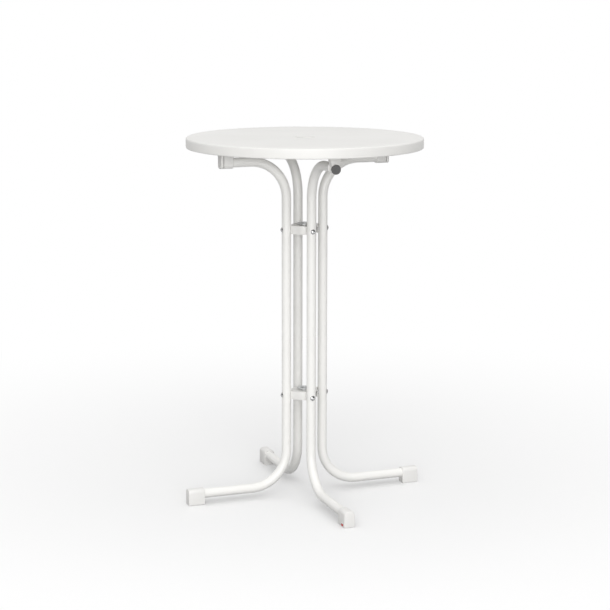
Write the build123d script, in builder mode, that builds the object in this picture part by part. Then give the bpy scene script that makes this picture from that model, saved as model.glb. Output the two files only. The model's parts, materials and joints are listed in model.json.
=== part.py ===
from build123d import *
import math
import os

# A standing bar table: a round top on a folding frame of two pairs of bent steel tubes.
# Millimetres, +Z up. The origin is on the floor, on the table's centre line.
# The left foot points along -X, the right foot along +X, the front foot along -Y.

os.makedirs("parts", exist_ok=True)

# Directions of the four legs, in degrees about Z from +X
LEGS = {"right": 0, "back": 90, "left": 180, "front": 270}
FIXED_PAIR = ("front", "back")
SWING_PAIR = ("left", "right")

# Tabletop
top_diameter = 700
top_height = 1087
plate_thickness = 20
rim_height = 30
rim_width = 15
rim_top_round = 5
rim_bottom_round = 3
recess_round = 6
pole_hole_diameter = 40

# Cover of the hole in the middle of the tabletop
cover_diameter = 47
cover_flange = 2
cover_dome = 1.2
cover_skirt = 12
cover_wall = 2.5
cover_side_gap = 0.6
cover_plug_gap = 0.4

# Leg tubes
tube_diameter = 28
tube_wall = 1.5
column_radius = 57.6
foot_height = 31
bend_radius = 110

# Plastic end caps: one moulding for the feet, a shorter one for three arms, a round one for the front arm
foot_reach = 371.5
foot_cap_length = 50
arm_reach_share = 0.726
arm_cap_length = 28.5
front_arm_reach_share = 0.66
front_cap_length = 7
front_cap_radius = 16.5
cap_width = 32
cap_round_side = 17
cap_top_corner = 11
cap_flat_corner = 2.5
cap_edge_round = 1.5
cap_wall = 2.5
cap_end_wall = 4
cap_rib = 3
tube_in_cap_gap = 0.1

# Connectors that hold the four columns together, at two heights
lower_connector_height = 312
upper_connector_drop = 205
connector_height = 25
sheet = 3
disc_radius = 32
wing_radius = 40
ear_start_angle = 31
ear_turn = 36.5
ear_length = 16.7
neck_half_width = 8
tab_face_radius = 39.6
lever_half_width = 12.5
lever_eye_radius = 20
lever_side_gap = 2
sheet_corner_round = 3

# Hollow rivets that the levers turn on, with a raised collar and a wide flange on top of the tray
pole_bore_radius = 12
eyelet_wall = 1.5
eyelet_foot_radius = 17
eyelet_flange = 1.2
eyelet_collar_radius = 14.7
eyelet_collar_height = 4.8
eyelet_head_radius = 22.5
pivot_clearance = 0.05
pivot_face_gap = 0.3

# Bolts, nuts and saddle spacers that fasten the tubes to the connectors
bolt_radius = 3
bolt_head_radius = 7.5
bolt_head_edge = 1
bolt_head_dome = 3
bolt_end_beyond_nut = 1.5
nut_across_flats = 10
nut_thickness = 5
spacer_radius = 7
fastener_clearance = 0.05
spacer_bite = 2

# Holders under the tabletop, one over each arm
holder_height = 17
holder_flange = 4
holder_flange_half_width = 30
holder_flange_corner = 5
lug_gap = 2.5
lug_thickness = 7
swing_gap = 0.3
tongue_depth = 8
tongue_gap = 0.6
screw_radius = 2
screw_head_radius = 4
screw_head = 2.5
screw_bite = 12
screw_edge = 7

# Block of the front holder, in front of the front arm, and the rib behind it over the tube
block_depth = 18
block_top_half_width = 17
block_shoulder_half_width = 15.8
block_shoulder_above_knob = 24
block_shoulder_round = 10
block_neck_half_width = 9
block_neck_above_knob = 4
block_neck_round = 6
block_below_knob = 7
block_bottom_round = 3
saddle_length = 23.5
saddle_half_width = 6
saddle_gap = 0.3

# Lock knob on the end of the front arm
knob_radius = 14
knob_thickness = 6
knob_edge_round = 1.5
knob_drop = 2.5
knob_face_gap = 0.3
spindle_radius = 3
spindle_in_knob = 3.5
spindle_slot_gap = 0.4
insert_radius = 5
insert_length = 9
spindle_beyond_insert = 2

# Level adjuster in the front foot
wheel_radius = 17.4
wheel_thickness = 5
wheel_height = 3.5
wheel_from_end = 18
wheel_groove = 0.8
wheel_grooves = 36
window_gap = 0.3
stud_radius = 4
stud_top_gap = 1
pad_radius = 11
pad_thickness = 2.5

# Length by which every cut runs past the piece that it cuts
overrun = 5

# The arms reach out to a share of the tabletop's radius
top_radius = top_diameter / 2
arm_reach = arm_reach_share * top_radius
front_arm_reach = front_arm_reach_share * top_radius
tube_radius = tube_diameter / 2
connector_half = connector_height / 2
plate_underside = top_height - plate_thickness
cap_flat_side = foot_height
arm_cap_top = plate_underside - holder_height
arm_height = arm_cap_top - cap_flat_side
connector_levels = (lower_connector_height, arm_height - upper_connector_drop)
pocket_depth = cap_flat_side - tube_radius - cap_wall
tab_inner_radius = tab_face_radius - sheet
tube_inner_face = column_radius - tube_radius
tube_outer_face = column_radius + tube_radius
knob_height = arm_height - knob_drop
top_tube_end = {name: arm_reach - cap_end_wall for name in LEGS}
top_tube_end["front"] = front_arm_reach - cap_end_wall
wheel_centre_radius = foot_reach - wheel_from_end


def direction(angle):
    """Unit vector on the floor that points along a leg."""
    return Vector(math.cos(math.radians(angle)), math.sin(math.radians(angle)), 0)


def side_plane(angle, height=0):
    """Upright plane through the table's centre line: x runs out along the leg, y runs up."""
    out = direction(angle)
    return Plane(origin=(0, 0, height), x_dir=out, z_dir=out.cross(Vector(0, 0, 1)))


def end_plane(angle, radius, height):
    """Upright plane square to a leg, seen from outside: x runs sideways, y runs up."""
    out = direction(angle)
    return Plane(origin=out * radius + Vector(0, 0, height), x_dir=Vector(0, 0, 1).cross(out), z_dir=out)


def plan_plane(angle, height):
    """Level plane whose x runs out along the leg."""
    return Plane(origin=(0, 0, height), x_dir=direction(angle), z_dir=(0, 0, 1))


def finish(builder, name):
    """Labels a finished piece and writes it."""
    builder.part.label = name
    export_step(builder.part, f"parts/{name}.step")


def leg_tube(angle, arm_end):
    """One bent tube: arm, column and foot, with a bolt hole at each connector."""
    with BuildPart() as leg:
        with BuildLine(side_plane(angle)) as route:
            FilletPolyline(
                (arm_end, arm_height),
                (column_radius, arm_height),
                (column_radius, foot_height),
                (foot_reach - cap_end_wall, foot_height),
                radius=bend_radius,
            )
        with BuildSketch(end_plane(angle, arm_end, arm_height)):
            Circle(tube_radius)
            Circle(tube_radius - tube_wall, mode=Mode.SUBTRACT)
        sweep(path=route.line)
        for level in connector_levels:
            with BuildSketch(end_plane(angle, 0, level)):
                Circle(bolt_radius + fastener_clearance)
            extrude(amount=tube_outer_face + overrun, mode=Mode.SUBTRACT)
    return leg


def cap_profile(flat_up):
    """Outline of a cap round the tube's axis: one flat side, one rounded side."""
    middle = (cap_flat_side - cap_round_side) / 2
    with BuildSketch() as profile:
        with Locations((0, middle if flat_up else -middle)):
            Rectangle(cap_width, cap_flat_side + cap_round_side)
        rows = profile.vertices().group_by(Axis.Y)
        flat_row, round_row = (rows[-1], rows[0]) if flat_up else (rows[0], rows[-1])
        fillet(flat_row, cap_flat_corner)
        fillet(round_row, cap_top_corner)
    return profile.sketch


def end_cap(angle, axis_height, reach, length, flat_up):
    """A moulded cap over a tube's end, with a hollow behind its flat side."""
    inner_end = reach - length
    with BuildPart() as cap:
        with BuildSketch(end_plane(angle, inner_end, axis_height)):
            add(cap_profile(flat_up))
        extrude(amount=length)
        end_face = cap.faces().sort_by(Axis((0, 0, 0), direction(angle)))[-1]
        fillet(end_face.edges(), cap_edge_round)
        with BuildSketch(end_plane(angle, inner_end, axis_height)):
            Circle(tube_radius + tube_in_cap_gap)
        extrude(amount=length - cap_end_wall, mode=Mode.SUBTRACT)
        flat_height = axis_height + cap_flat_side if flat_up else axis_height - cap_flat_side
        with BuildSketch(plan_plane(angle, flat_height)):
            with Locations((reach - length / 2, 0)):
                Rectangle(length - 2 * cap_end_wall, cap_width - 2 * cap_wall)
        extrude(amount=-pocket_depth if flat_up else pocket_depth, mode=Mode.SUBTRACT)
    return cap


# The four legs
for leg_name, leg_angle in LEGS.items():
    tube = leg_tube(leg_angle, top_tube_end[leg_name])
    finish(tube, f"leg_{leg_name}")

# Foot caps: a rib across the hollow of three, the level adjuster in the front one
for leg_name, leg_angle in LEGS.items():
    shell = end_cap(leg_angle, foot_height, foot_reach, foot_cap_length, flat_up=False)
    if leg_name == "front":
        with BuildPart() as foot_cap:
            add(shell.part)
            with BuildSketch(plan_plane(leg_angle, wheel_height - window_gap)):
                with Locations((wheel_centre_radius, 0)):
                    Circle(wheel_radius + window_gap)
            extrude(amount=wheel_thickness + 2 * window_gap, mode=Mode.SUBTRACT)
    else:
        with BuildPart() as foot_cap:
            add(shell.part)
            with BuildSketch(plan_plane(leg_angle, 0)):
                with Locations((foot_reach - foot_cap_length / 2, 0)):
                    Rectangle(cap_rib, cap_width - 2 * cap_wall)
            extrude(amount=pocket_depth)
    finish(foot_cap, f"foot_cap_{leg_name}")

# Arm caps: the front one is round and carries the threaded insert of the lock knob inside the tube
for leg_name, leg_angle in LEGS.items():
    if leg_name == "front":
        continue
    arm_cap = end_cap(leg_angle, arm_height, arm_reach, arm_cap_length, flat_up=True)
    finish(arm_cap, f"arm_cap_{leg_name}")

front = LEGS["front"]
insert_start = top_tube_end["front"] - insert_length
with BuildPart() as arm_cap_front:
    with BuildSketch(end_plane(front, front_arm_reach, arm_height)):
        Circle(front_cap_radius)
    extrude(amount=-front_cap_length)
    cap_front_face = arm_cap_front.faces().sort_by(Axis((0, 0, 0), direction(front)))[-1]
    fillet(cap_front_face.edges(), cap_edge_round)
    with BuildSketch(end_plane(front, top_tube_end["front"], arm_height)):
        Circle(tube_radius + tube_in_cap_gap)
    extrude(amount=-front_cap_length, mode=Mode.SUBTRACT)
    with BuildSketch(end_plane(front, insert_start, arm_height)):
        Circle(tube_radius - tube_wall - tube_in_cap_gap)
    extrude(amount=insert_length)
    with BuildSketch(end_plane(front, insert_start, knob_height)):
        Circle(insert_radius + fastener_clearance)
    extrude(amount=insert_length, mode=Mode.SUBTRACT)
    with BuildSketch(end_plane(front, insert_start, knob_height)):
        Circle(spindle_radius + spindle_slot_gap)
    extrude(amount=insert_length + cap_end_wall + overrun, mode=Mode.SUBTRACT)
finish(arm_cap_front, "arm_cap_front")

with BuildPart() as lock_insert:
    with BuildSketch(end_plane(front, insert_start, knob_height)):
        Circle(insert_radius)
        Circle(spindle_radius + pivot_clearance, mode=Mode.SUBTRACT)
    extrude(amount=insert_length)
finish(lock_insert, "lock_insert")


def tray(level):
    """Pressed tray of the fixed pair: a disc, two skirted wings with ears, and two bolted tabs."""
    top = level + connector_half
    lever_edge = lever_half_width + lever_side_gap
    ear_start = direction(ear_start_angle) * (sheet / 2 - wing_radius)
    ear_place = Location(ear_start, (0, 0, 180 - ear_turn))
    with BuildPart() as part:
        with BuildSketch(Plane.XY.offset(top - sheet)):
            Circle(disc_radius)
        extrude(amount=sheet)
        for turn in (0, 180):
            with BuildSketch(Plane.XY.offset(top - sheet).rotated((0, 0, turn))):
                Circle(wing_radius)
                with Locations((neck_half_width, -lever_edge)):
                    Rectangle(
                        wing_radius + neck_half_width, wing_radius, align=(Align.MAX, Align.MAX), mode=Mode.INTERSECT
                    )
                with Locations((0, -tab_face_radius)):
                    Rectangle(2 * wing_radius, wing_radius, align=(Align.CENTER, Align.MAX), mode=Mode.SUBTRACT)
            extrude(amount=sheet)
            with BuildSketch(Plane.XY.offset(level - connector_half).rotated((0, 0, turn))):
                Circle(wing_radius)
                Circle(wing_radius - sheet, mode=Mode.SUBTRACT)
                with Locations((-neck_half_width, -lever_edge)):
                    Rectangle(wing_radius, wing_radius, align=(Align.MAX, Align.MAX), mode=Mode.INTERSECT)
            extrude(amount=connector_height)
            with BuildSketch(Plane.XY.offset(level - connector_half).rotated((0, 0, turn))):
                with Locations(ear_place):
                    Rectangle(ear_length, sheet, align=(Align.MIN, Align.CENTER))
            extrude(amount=connector_height)
            with BuildSketch(Plane.XY.offset(level - connector_half).rotated((0, 0, turn))):
                with Locations((0, -tab_inner_radius)):
                    Rectangle(2 * neck_half_width, sheet, align=(Align.CENTER, Align.MAX))
            extrude(amount=connector_height)
        with BuildSketch(Plane.XY.offset(top - sheet - overrun)):
            Circle(pole_bore_radius + eyelet_wall + pivot_clearance)
        extrude(amount=sheet + 2 * overrun, mode=Mode.SUBTRACT)
        for name in FIXED_PAIR:
            with BuildSketch(end_plane(LEGS[name], 0, level)):
                Circle(bolt_radius + fastener_clearance)
            extrude(amount=tab_face_radius + overrun, mode=Mode.SUBTRACT)
    return part


def lever(level):
    """Lever of the swinging pair: a bar with a round eye and two bolted end tabs."""
    bar_top = level + connector_half - sheet - pivot_face_gap
    with BuildPart() as part:
        with BuildSketch(Plane.XY.offset(bar_top - sheet)):
            Rectangle(2 * tab_face_radius, 2 * lever_half_width)
            Circle(lever_eye_radius)
            Circle(pole_bore_radius + eyelet_wall + pivot_clearance, mode=Mode.SUBTRACT)
        extrude(amount=sheet)
        for name in SWING_PAIR:
            with BuildSketch(end_plane(LEGS[name], tab_inner_radius, level)):
                RectangleRounded(2 * lever_half_width, connector_height, sheet_corner_round)
                Circle(bolt_radius + fastener_clearance, mode=Mode.SUBTRACT)
            extrude(amount=sheet)
    return part


level_names = dict(zip(("lower", "upper"), connector_levels))
for level_name, height in level_names.items():
    pressed_tray = tray(height)
    finish(pressed_tray, f"{level_name}_tray")
    swing_lever = lever(height)
    finish(swing_lever, f"{level_name}_lever")

# Hollow rivets through each tray and lever
for level_name, height in level_names.items():
    tray_top = height + connector_half
    lever_underside = tray_top - 2 * sheet - pivot_face_gap
    foot_underside = lever_underside - pivot_face_gap - eyelet_flange
    head_underside = tray_top + eyelet_collar_height
    with BuildPart() as eyelet:
        for radius, low, high in (
            (eyelet_foot_radius, foot_underside, foot_underside + eyelet_flange),
            (pole_bore_radius + eyelet_wall, foot_underside, tray_top),
            (eyelet_collar_radius, tray_top, head_underside),
            (eyelet_head_radius, head_underside, head_underside + eyelet_flange),
        ):
            with BuildSketch(Plane.XY.offset(low)):
                Circle(radius)
            extrude(amount=high - low)
        with BuildSketch(Plane.XY.offset(foot_underside)):
            Circle(pole_bore_radius)
        extrude(amount=head_underside + eyelet_flange - foot_underside, mode=Mode.SUBTRACT)
    finish(eyelet, f"{level_name}_pivot_eyelet")


def bolts(pair):
    """Domed bolts, one at each connector and leg of the pair."""
    bolt_end = tab_inner_radius - nut_thickness - bolt_end_beyond_nut
    with BuildPart() as group:
        for name in pair:
            for level in connector_levels:
                with BuildSketch(side_plane(LEGS[name], level)):
                    with BuildLine():
                        shank = Polyline(
                            (bolt_end, 0),
                            (bolt_end, bolt_radius),
                            (tube_outer_face, bolt_radius),
                            (tube_outer_face, bolt_head_radius),
                            (tube_outer_face + bolt_head_edge, bolt_head_radius),
                        )
                        crown = (tube_outer_face + bolt_head_edge + bolt_head_dome, 0)
                        dome_radius = (bolt_head_radius**2 + bolt_head_dome**2) / (2 * bolt_head_dome)
                        RadiusArc(shank @ 1, crown, dome_radius)
                        Line(crown, (bolt_end, 0))
                    make_face()
                revolve(axis=Axis((0, 0, level), direction(LEGS[name])))
    return group


def nuts(pair):
    """Hexagon nuts behind the tabs."""
    with BuildPart() as group:
        for name in pair:
            for level in connector_levels:
                with BuildSketch(end_plane(LEGS[name], tab_inner_radius - nut_thickness, level)):
                    RegularPolygon(nut_across_flats / 2, 6, major_radius=False)
                    Circle(bolt_radius + fastener_clearance, mode=Mode.SUBTRACT)
                extrude(amount=nut_thickness)
    return group


def spacers(pair):
    """Saddle spacers between the flat tabs and the round tubes."""
    with BuildPart() as group:
        for name in pair:
            for level in connector_levels:
                with BuildSketch(end_plane(LEGS[name], tab_face_radius, level)):
                    Circle(spacer_radius)
                    Circle(bolt_radius + fastener_clearance, mode=Mode.SUBTRACT)
                extrude(amount=tube_inner_face + spacer_bite - tab_face_radius)
        for name in pair:
            with BuildSketch(plan_plane(LEGS[name], 0)):
                with Locations((column_radius, 0)):
                    Circle(tube_radius + fastener_clearance)
            extrude(amount=arm_height, mode=Mode.SUBTRACT)
    return group


for pair_name, pair in (("fixed", FIXED_PAIR), ("swing", SWING_PAIR)):
    bolt_group = bolts(pair)
    finish(bolt_group, f"leg_bolts_{pair_name}")
    nut_group = nuts(pair)
    finish(nut_group, f"leg_nuts_{pair_name}")
    spacer_group = spacers(pair)
    finish(spacer_group, f"leg_spacers_{pair_name}")


def screw_places(name):
    """Places of a holder's two screws, as distances out from the centre and sideways."""
    if name == "front":
        middle = front_arm_reach - saddle_length / 2
    else:
        middle = arm_reach - arm_cap_length / 2
    side = holder_flange_half_width - screw_edge
    return [(middle, way * side) for way in (-1, 1)]


def flange_outline(name, inner_end, outer_end):
    """Outline of a holder's flange, with its two screw holes."""
    with BuildSketch() as outline:
        with Locations(((inner_end + outer_end) / 2, 0)):
            RectangleRounded(outer_end - inner_end, 2 * holder_flange_half_width, holder_flange_corner)
        for place in screw_places(name):
            with Locations(place):
                Circle(screw_radius + fastener_clearance, mode=Mode.SUBTRACT)
    return outline.sketch


def holder(name):
    """Holder over the back or a side arm: screwed flange, bearing block and a lug over the arm's end."""
    angle = LEGS[name]
    is_fixed = name in FIXED_PAIR
    lug_start = arm_reach + lug_gap
    lug_end = lug_start + lug_thickness
    seat = arm_cap_top if is_fixed else arm_cap_top + swing_gap
    inner_end = arm_reach - arm_cap_length
    with BuildPart() as part:
        with BuildSketch(plan_plane(angle, plate_underside - holder_flange)):
            add(flange_outline(name, inner_end, lug_end))
        extrude(amount=holder_flange)
        with BuildSketch(plan_plane(angle, seat)):
            with Locations((inner_end, 0)):
                Rectangle(lug_end - inner_end, cap_width, align=(Align.MIN, Align.CENTER))
        extrude(amount=plate_underside - holder_flange - seat)
        with BuildSketch(end_plane(angle, lug_start, arm_height)):
            add(cap_profile(flat_up=True))
            lug_height = plate_underside - holder_flange - arm_height
            Rectangle(cap_width, lug_height, align=(Align.CENTER, Align.MIN))
        extrude(amount=lug_thickness)
        if is_fixed:
            with BuildSketch(plan_plane(angle, seat - tongue_depth)):
                with Locations((arm_reach - arm_cap_length / 2, 0)):
                    Rectangle(
                        arm_cap_length - 2 * cap_end_wall - 2 * tongue_gap, cap_width - 2 * cap_wall - 2 * tongue_gap
                    )
            extrude(amount=tongue_depth)
    return part


def front_holder():
    """Front holder: flange, a rib over the tube and a tapering block with a slot for the lock spindle."""
    block_start = front_arm_reach + knob_face_gap
    flange_bottom = plate_underside - holder_flange
    slot_radius = spindle_radius + spindle_slot_gap
    tube_top = arm_height + tube_radius
    rib_start = front_arm_reach - saddle_length
    rib_length = saddle_length - front_cap_length - saddle_gap
    block_side = (
        (block_top_half_width, flange_bottom - knob_height),
        (block_shoulder_half_width, block_shoulder_above_knob),
        (block_neck_half_width, block_neck_above_knob),
        (block_neck_half_width, -block_below_knob),
    )
    with BuildPart() as part:
        with BuildSketch(plan_plane(front, flange_bottom)):
            add(flange_outline("front", rib_start, block_start + block_depth))
        extrude(amount=holder_flange)
        with BuildSketch(plan_plane(front, tube_top + saddle_gap)):
            with Locations((rib_start, 0)):
                Rectangle(rib_length, 2 * saddle_half_width, align=(Align.MIN, Align.CENTER))
        extrude(amount=flange_bottom - tube_top - saddle_gap)
        with BuildSketch(end_plane(front, block_start, knob_height)):
            with BuildLine():
                Polyline(*block_side, *((-x, y) for x, y in reversed(block_side)), close=True)
            make_face()
            bottom_row, neck_row, shoulder_row = vertices().group_by(Axis.Y)[:3]
            fillet(bottom_row, block_bottom_round)
            fillet(neck_row, block_neck_round)
            fillet(shoulder_row, block_shoulder_round)
            Circle(slot_radius, mode=Mode.SUBTRACT)
            Rectangle(2 * slot_radius, arm_height, align=(Align.CENTER, Align.MAX), mode=Mode.SUBTRACT)
        extrude(amount=block_depth)
    return part


# Tabletop: a thick plate with a rim that hangs lower, a counterbored hole and screw holes
rim_inner_radius = top_radius - rim_width
with BuildPart() as tabletop:
    with BuildSketch(Plane.XZ):
        with BuildLine():
            Polyline(
                (pole_hole_diameter / 2, top_height),
                (top_radius, top_height),
                (top_radius, top_height - rim_height),
                (rim_inner_radius, top_height - rim_height),
                (rim_inner_radius, plate_underside),
                (pole_hole_diameter / 2, plate_underside),
                close=True,
            )
        make_face()
        rim_corners = vertices().group_by(Axis.X)[-1].sort_by(Axis.Y)
        inner_corners = vertices().group_by(Axis.X)[-2].sort_by(Axis.Y)
        fillet(rim_corners[-1], rim_top_round)
        fillet([rim_corners[0], inner_corners[0]], rim_bottom_round)
        fillet(inner_corners[-1], recess_round)
    revolve(axis=Axis.Z)
    with BuildSketch(Plane.XY.offset(top_height - cover_flange)):
        Circle(cover_diameter / 2 + cover_side_gap)
    extrude(amount=cover_flange + overrun, mode=Mode.SUBTRACT)
    for leg_name, leg_angle in LEGS.items():
        with BuildSketch(plan_plane(leg_angle, plate_underside)):
            for place in screw_places(leg_name):
                with Locations(place):
                    Circle(screw_radius + fastener_clearance)
        extrude(amount=screw_bite, mode=Mode.SUBTRACT)
finish(tabletop, "tabletop")

for leg_name in LEGS:
    top_holder = front_holder() if leg_name == "front" else holder(leg_name)
    finish(top_holder, f"top_holder_{leg_name}")

# Pan-head screws of the holders
with BuildPart() as holder_screws:
    for leg_name, leg_angle in LEGS.items():
        flange_bottom = plate_underside - holder_flange
        for radius, low, high in (
            (screw_head_radius, flange_bottom - screw_head, flange_bottom),
            (screw_radius, flange_bottom, plate_underside + screw_bite),
        ):
            with BuildSketch(plan_plane(leg_angle, low)):
                for place in screw_places(leg_name):
                    with Locations(place):
                        Circle(radius)
            extrude(amount=high - low)
finish(holder_screws, "holder_screws")

# Cover of the hole in the tabletop: a shallow dome with a skirt that plugs the hole
with BuildPart() as centre_cover:
    plug_radius = pole_hole_diameter / 2 - cover_plug_gap
    cover_edge = top_height - cover_flange
    with BuildSketch(Plane.XZ):
        with BuildLine():
            sphere = ((cover_diameter / 2) ** 2 + cover_dome**2) / (2 * cover_dome)
            RadiusArc((0, top_height + cover_dome), (cover_diameter / 2, top_height), sphere)
            Polyline(
                (cover_diameter / 2, top_height),
                (cover_diameter / 2, cover_edge),
                (plug_radius, cover_edge),
                (plug_radius, cover_edge - cover_skirt),
                (plug_radius - cover_wall, cover_edge - cover_skirt),
                (plug_radius - cover_wall, cover_edge),
                (0, cover_edge),
                (0, top_height + cover_dome),
            )
        make_face()
    revolve(axis=Axis.Z)
finish(centre_cover, "centre_cover")

# Lock knob and its threaded spindle
knob_start = front_arm_reach + 2 * knob_face_gap + block_depth
with BuildPart() as lock_knob:
    with BuildSketch(end_plane(front, knob_start, knob_height)):
        Circle(knob_radius)
    extrude(amount=knob_thickness)
    outer_rim = lock_knob.faces().sort_by(Axis((0, 0, 0), direction(front)))[-1].edges()
    fillet(outer_rim, knob_edge_round)
    with BuildSketch(end_plane(front, knob_start, knob_height)):
        Circle(spindle_radius + pivot_clearance)
    extrude(amount=spindle_in_knob, mode=Mode.SUBTRACT)
finish(lock_knob, "lock_knob")

spindle_start = insert_start - spindle_beyond_insert
with BuildPart() as lock_spindle:
    with BuildSketch(end_plane(front, spindle_start, knob_height)):
        Circle(spindle_radius)
    extrude(amount=knob_start + spindle_in_knob - spindle_start)
finish(lock_spindle, "lock_spindle")

# Level adjuster: grooved wheel, and a stud with its pad under it
with BuildPart() as level_wheel:
    with BuildSketch(plan_plane(front, wheel_height)):
        with Locations((wheel_centre_radius, 0)):
            Circle(wheel_radius)
            Circle(stud_radius + pivot_clearance, mode=Mode.SUBTRACT)
            with PolarLocations(wheel_radius, wheel_grooves):
                Circle(wheel_groove, mode=Mode.SUBTRACT)
    extrude(amount=wheel_thickness)
finish(level_wheel, "level_wheel")

with BuildPart() as level_stud:
    with BuildSketch(plan_plane(front, pad_thickness)):
        with Locations((wheel_centre_radius, 0)):
            Circle(stud_radius)
    extrude(amount=pocket_depth - stud_top_gap - pad_thickness)
finish(level_stud, "level_stud")

with BuildPart() as level_pad:
    with BuildSketch(plan_plane(front, 0)):
        with Locations((wheel_centre_radius, 0)):
            Circle(pad_radius)
    extrude(amount=pad_thickness)
finish(level_pad, "level_pad")
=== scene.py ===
# %% [markdown]
# # A standing bar table for the studio
# The CAD frame gives the size, the place and the motion of every piece. This script gives the looks: it
# makes each visible piece again as a smooth, softly edged mesh, puts a finish on it, and sets up floor,
# light and camera. Everything is in metres, in the frame of the CAD, so a piece is made straight in its
# place.

# %% Load the frame
import json
import math

import bmesh
import bpy
from mathutils import Matrix, Vector


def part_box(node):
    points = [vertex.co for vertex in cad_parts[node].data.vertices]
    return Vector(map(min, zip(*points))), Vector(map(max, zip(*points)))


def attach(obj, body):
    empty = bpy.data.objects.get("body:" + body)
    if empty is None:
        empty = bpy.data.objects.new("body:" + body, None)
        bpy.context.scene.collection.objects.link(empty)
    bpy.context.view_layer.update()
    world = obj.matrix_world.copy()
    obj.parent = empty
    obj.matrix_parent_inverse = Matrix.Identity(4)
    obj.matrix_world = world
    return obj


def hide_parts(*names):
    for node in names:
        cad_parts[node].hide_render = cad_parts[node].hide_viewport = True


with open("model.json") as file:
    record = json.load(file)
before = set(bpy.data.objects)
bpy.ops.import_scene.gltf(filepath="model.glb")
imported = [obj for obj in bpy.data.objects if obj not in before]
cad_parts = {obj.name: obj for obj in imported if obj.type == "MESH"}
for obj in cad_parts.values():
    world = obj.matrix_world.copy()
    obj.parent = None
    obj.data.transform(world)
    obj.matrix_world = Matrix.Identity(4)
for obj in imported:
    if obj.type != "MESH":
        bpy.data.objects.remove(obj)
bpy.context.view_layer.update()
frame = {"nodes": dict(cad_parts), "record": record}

# %% [markdown]
# ## Driving sizes from the frame
# The big sizes are read from the boxes of the CAD nodes, so that a mesh can't drift away from its node.
# Each leg is known by its name and by the angle, in degrees, at which it points out. Front and back are one
# fixed pair; left and right are the pair that swings.

# %% Sizes read from the frame
LEGS = {"right": 0, "back": 90, "left": 180, "front": 270}
FIXED_PAIR = ("front", "back")
SWING_PAIR = ("left", "right")

top_low, top_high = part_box("tabletop")
TOP_HEIGHT = top_high[2]
RIM_BOTTOM = top_low[2]

foot_low, foot_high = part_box("foot_cap_right")
FOOT_REACH = foot_high[0]
FOOT_CAP_LENGTH = foot_high[0] - foot_low[0]
CAP_WIDTH = foot_high[1] - foot_low[1]

arm_low, arm_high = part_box("arm_cap_right")
front_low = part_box("arm_cap_front")[0]
ARM_REACH = {name: arm_high[0] for name in LEGS}
ARM_REACH["front"] = -front_low[1]
ARM_CAP_LENGTH = arm_high[0] - arm_low[0]
ARM_CAP_TOP = arm_high[2]
print("top at", round(TOP_HEIGHT, 4), "m; feet reach", round(FOOT_REACH, 4), "m")

# %% [markdown]
# ## Gauges from the maker's drawing
# The small sizes are those of a furniture maker's drawing: tube gauge, corner rounds, walls and running
# gaps. A cutting tool is made longer than what it cuts, by the overrun, so that no thin skin is left
# behind.

# %% Sizes from the maker's drawing
TOP_RADIUS = 0.350
TUBE_RADIUS = 0.014
TUBE_WALL = 0.0015
COLUMN_RADIUS = 0.0576
FOOT_HEIGHT = 0.031
ARM_HEIGHT = ARM_CAP_TOP - FOOT_HEIGHT
BEND_RADIUS = 0.110
CAP_ROUND_SIDE = 0.017
CAP_TOP_CORNER = 0.011
CAP_FLAT_CORNER = 0.0025
CAP_EDGE = 0.0015
CAP_WALL = 0.0025
CAP_END_WALL = 0.004
CAP_RIB = 0.003
TUBE_GAP = 0.0001
FIT_GAP = 0.00005
OVERRUN = 0.004
print("top", 2 * TOP_RADIUS, "m across; arms at", round(ARM_HEIGHT, 4), "m")

# %% [markdown]
# ## Colours and nodes
# Paint charts give sRGB hex values, while the renderer reckons in linear light, so one function turns one
# into the other. A second small function adds any shader node, sets it and links it.


# %% Helpers for materials
def linear(hex_colour):
    """An sRGB hex colour as linear RGBA."""
    channels = [int(hex_colour[i:i + 2], 16) / 255 for i in (1, 3, 5)]
    return [c / 12.92 if c <= 0.04045 else ((c + 0.055) / 1.055) ** 2.4 for c in channels] + [1.0]


def add_node(material, kind, settings=None, inputs=None):
    """Adds a node; an input that is a socket is linked, any other is set as a value."""
    made = material.node_tree.nodes.new(kind)
    for name, value in (settings or {}).items():
        setattr(made, name, value)
    for name, value in (inputs or {}).items():
        if isinstance(value, bpy.types.NodeSocket):
            material.node_tree.links.new(value, made.inputs[name])
        else:
            made.inputs[name].default_value = value
    return made


def new_material(name):
    """An empty node material with its output node."""
    material = bpy.data.materials.new(name)
    material.use_nodes = True
    material.node_tree.nodes.clear()
    return material, material.node_tree.nodes.new("ShaderNodeOutputMaterial")


print("white paint in linear light:", [round(c, 3) for c in linear("#F6F5F2")])

# %% [markdown]
# ## A finish that covers coats, mouldings and platings
# Paint, plastic and plating differ in colour, gloss and the grain of their skin, but the recipe is one: a
# fine bump of a real size, a gloss that wanders a little, and a colour that is a touch darker in places. A
# noise texture has about one hill per unit at scale 1, so the scale is 1000 mm divided by the grain in
# millimetres.

# %% Surface finish
MM_PER_METRE = 1000.0
GLOSS_SPREAD = 0.04
NOISE_LOW = 0.3
NOISE_HIGH = 0.7


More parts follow.
